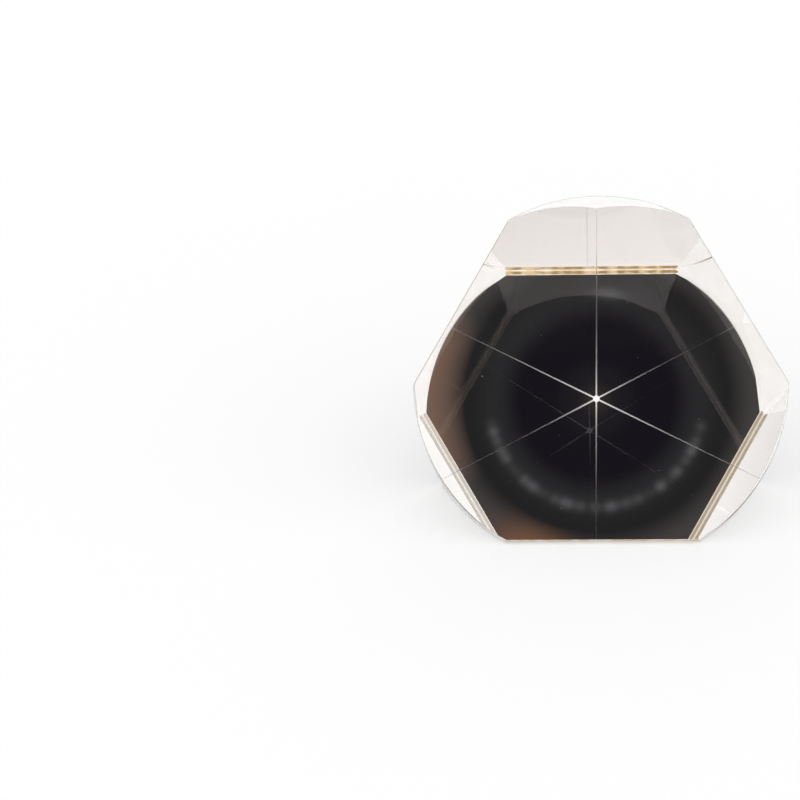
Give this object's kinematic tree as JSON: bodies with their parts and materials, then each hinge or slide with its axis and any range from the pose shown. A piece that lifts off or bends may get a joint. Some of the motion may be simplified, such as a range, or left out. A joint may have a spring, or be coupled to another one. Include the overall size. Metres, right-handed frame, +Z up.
{
  "type": "survey prism",
  "caption": "Corner-cube glass reflector prism with a clear round front face and silvered, coppered and black-painted back faces, unmounted.",
  "frame": {"origin": "centre of the part's footprint box, on the surface that its base face rests on; it lies on the base face", "axes": "+Z up, away from the base face; -Y towards the side that the clear front face looks to, tilted up by 35.3 degrees; +X to the right as seen from the front; the optical axis lies in the YZ plane"},
  "size_m": [0.064, 0.048, 0.049],
  "materials": {
    "optical_glass": "polished front and back faces, fine-ground rim, flats and bevels",
    "silver_mirror": "mirror, seen through the glass",
    "copper_backing": "plated copper over the silver, covered by the paint",
    "black_paint": "satin black protective paint",
    "edge_paint": "glossier black paint over the bevelled edges"
  },
  "bodies": {
    "root": {"prism_glass": "optical_glass", "silver_film_base": "silver_mirror", "silver_film_left": "silver_mirror", "silver_film_right": "silver_mirror", "copper_film_base": "copper_backing", "copper_film_left": "copper_backing", "copper_film_right": "copper_backing", "paint_coat_base": "black_paint", "paint_coat_left": "black_paint", "paint_coat_right": "black_paint", "edge_paint_back": "edge_paint", "edge_paint_left": "edge_paint", "edge_paint_right": "edge_paint"}
  },
  "joints": []
}
